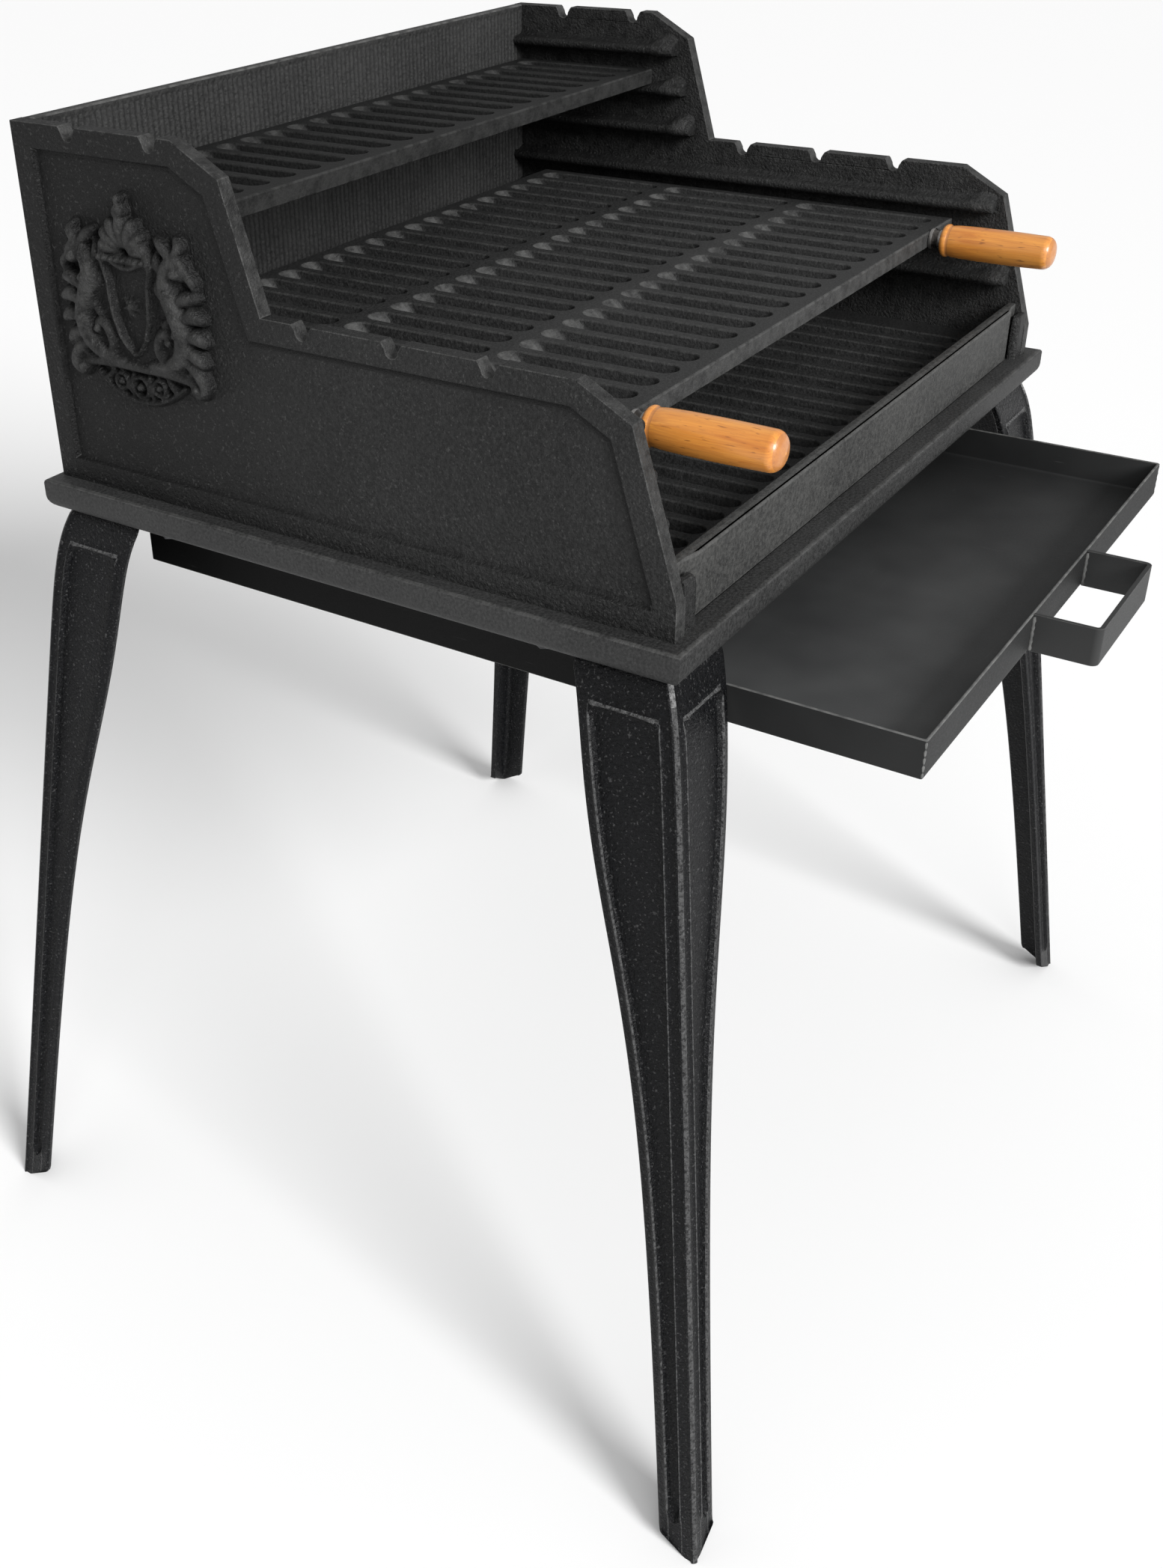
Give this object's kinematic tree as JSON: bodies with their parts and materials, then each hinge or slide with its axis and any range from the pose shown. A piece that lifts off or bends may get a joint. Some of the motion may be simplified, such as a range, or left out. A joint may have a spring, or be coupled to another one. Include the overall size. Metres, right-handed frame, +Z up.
{
  "type": "garden grill",
  "caption": "Cast-iron charcoal grill on splayed legs: stepped notched side plates, slotted cooking and warming grates, wooden grips and a drawn-out ash tray.",
  "frame": {"origin": "on the ground under the middle of the whole grill's box, with the ash tray drawn out as at rest", "axes": "+Z up, -Y towards the cook (the tray and the grips), +X to the cook's right"},
  "size_m": [0.774, 0.742, 0.881],
  "materials": {
    "cast_body": "matte sand-cast iron, charcoal black, paler on worn edges",
    "cast_grate": "matte sand-cast iron, oiled",
    "cast_leg": "black lacquered sand-cast iron, semi-gloss with a coarse grain",
    "sheet_steel": "satin black folded sheet with faint scratches",
    "dark_steel": "blackened turned steel",
    "fastener_steel": "blackened zinc",
    "wood_grip": "varnished turned beech"
  },
  "bodies": {
    "grill": {"base_frame": "cast_body", "side_plate_left": "cast_body", "side_plate_right": "cast_body", "back_plate": "cast_body", "front_plate": "cast_body", "fire_grate": "cast_grate", "tray_guide_left": "sheet_steel", "tray_guide_right": "sheet_steel", "leg_front_left": "cast_leg", "leg_front_right": "cast_leg", "leg_rear_left": "cast_leg", "leg_rear_right": "cast_leg", "leg_bolts": "fastener_steel", "leg_washers": "fastener_steel", "plate_bolts": "fastener_steel", "plate_washers": "fastener_steel", "guide_screws": "fastener_steel"},
    "cooking_grate": {"cooking_grate": "cast_grate", "handle_grip_left": "wood_grip", "handle_grip_right": "wood_grip", "handle_ferrule_left": "dark_steel", "handle_ferrule_right": "dark_steel", "handle_stud_left": "fastener_steel", "handle_stud_right": "fastener_steel"},
    "warming_grate": {"warming_grate": "cast_grate"},
    "ash_tray": {"ash_tray": "sheet_steel", "ash_tray_handle": "sheet_steel"}
  },
  "joints": [
    {"name": "cooking_grate_slide", "type": "slide", "parent": "grill", "child": "cooking_grate", "axis": [0, -1, 0], "range_m": [-0.025, 0.15]},
    {"name": "warming_grate_slide", "type": "slide", "parent": "grill", "child": "warming_grate", "axis": [0, -1, 0], "range_m": [0, 0.06]},
    {"name": "ash_tray_slide", "type": "slide", "parent": "grill", "child": "ash_tray", "axis": [0, -1, 0], "range_m": [-0.132, 0.24]}
  ]
}
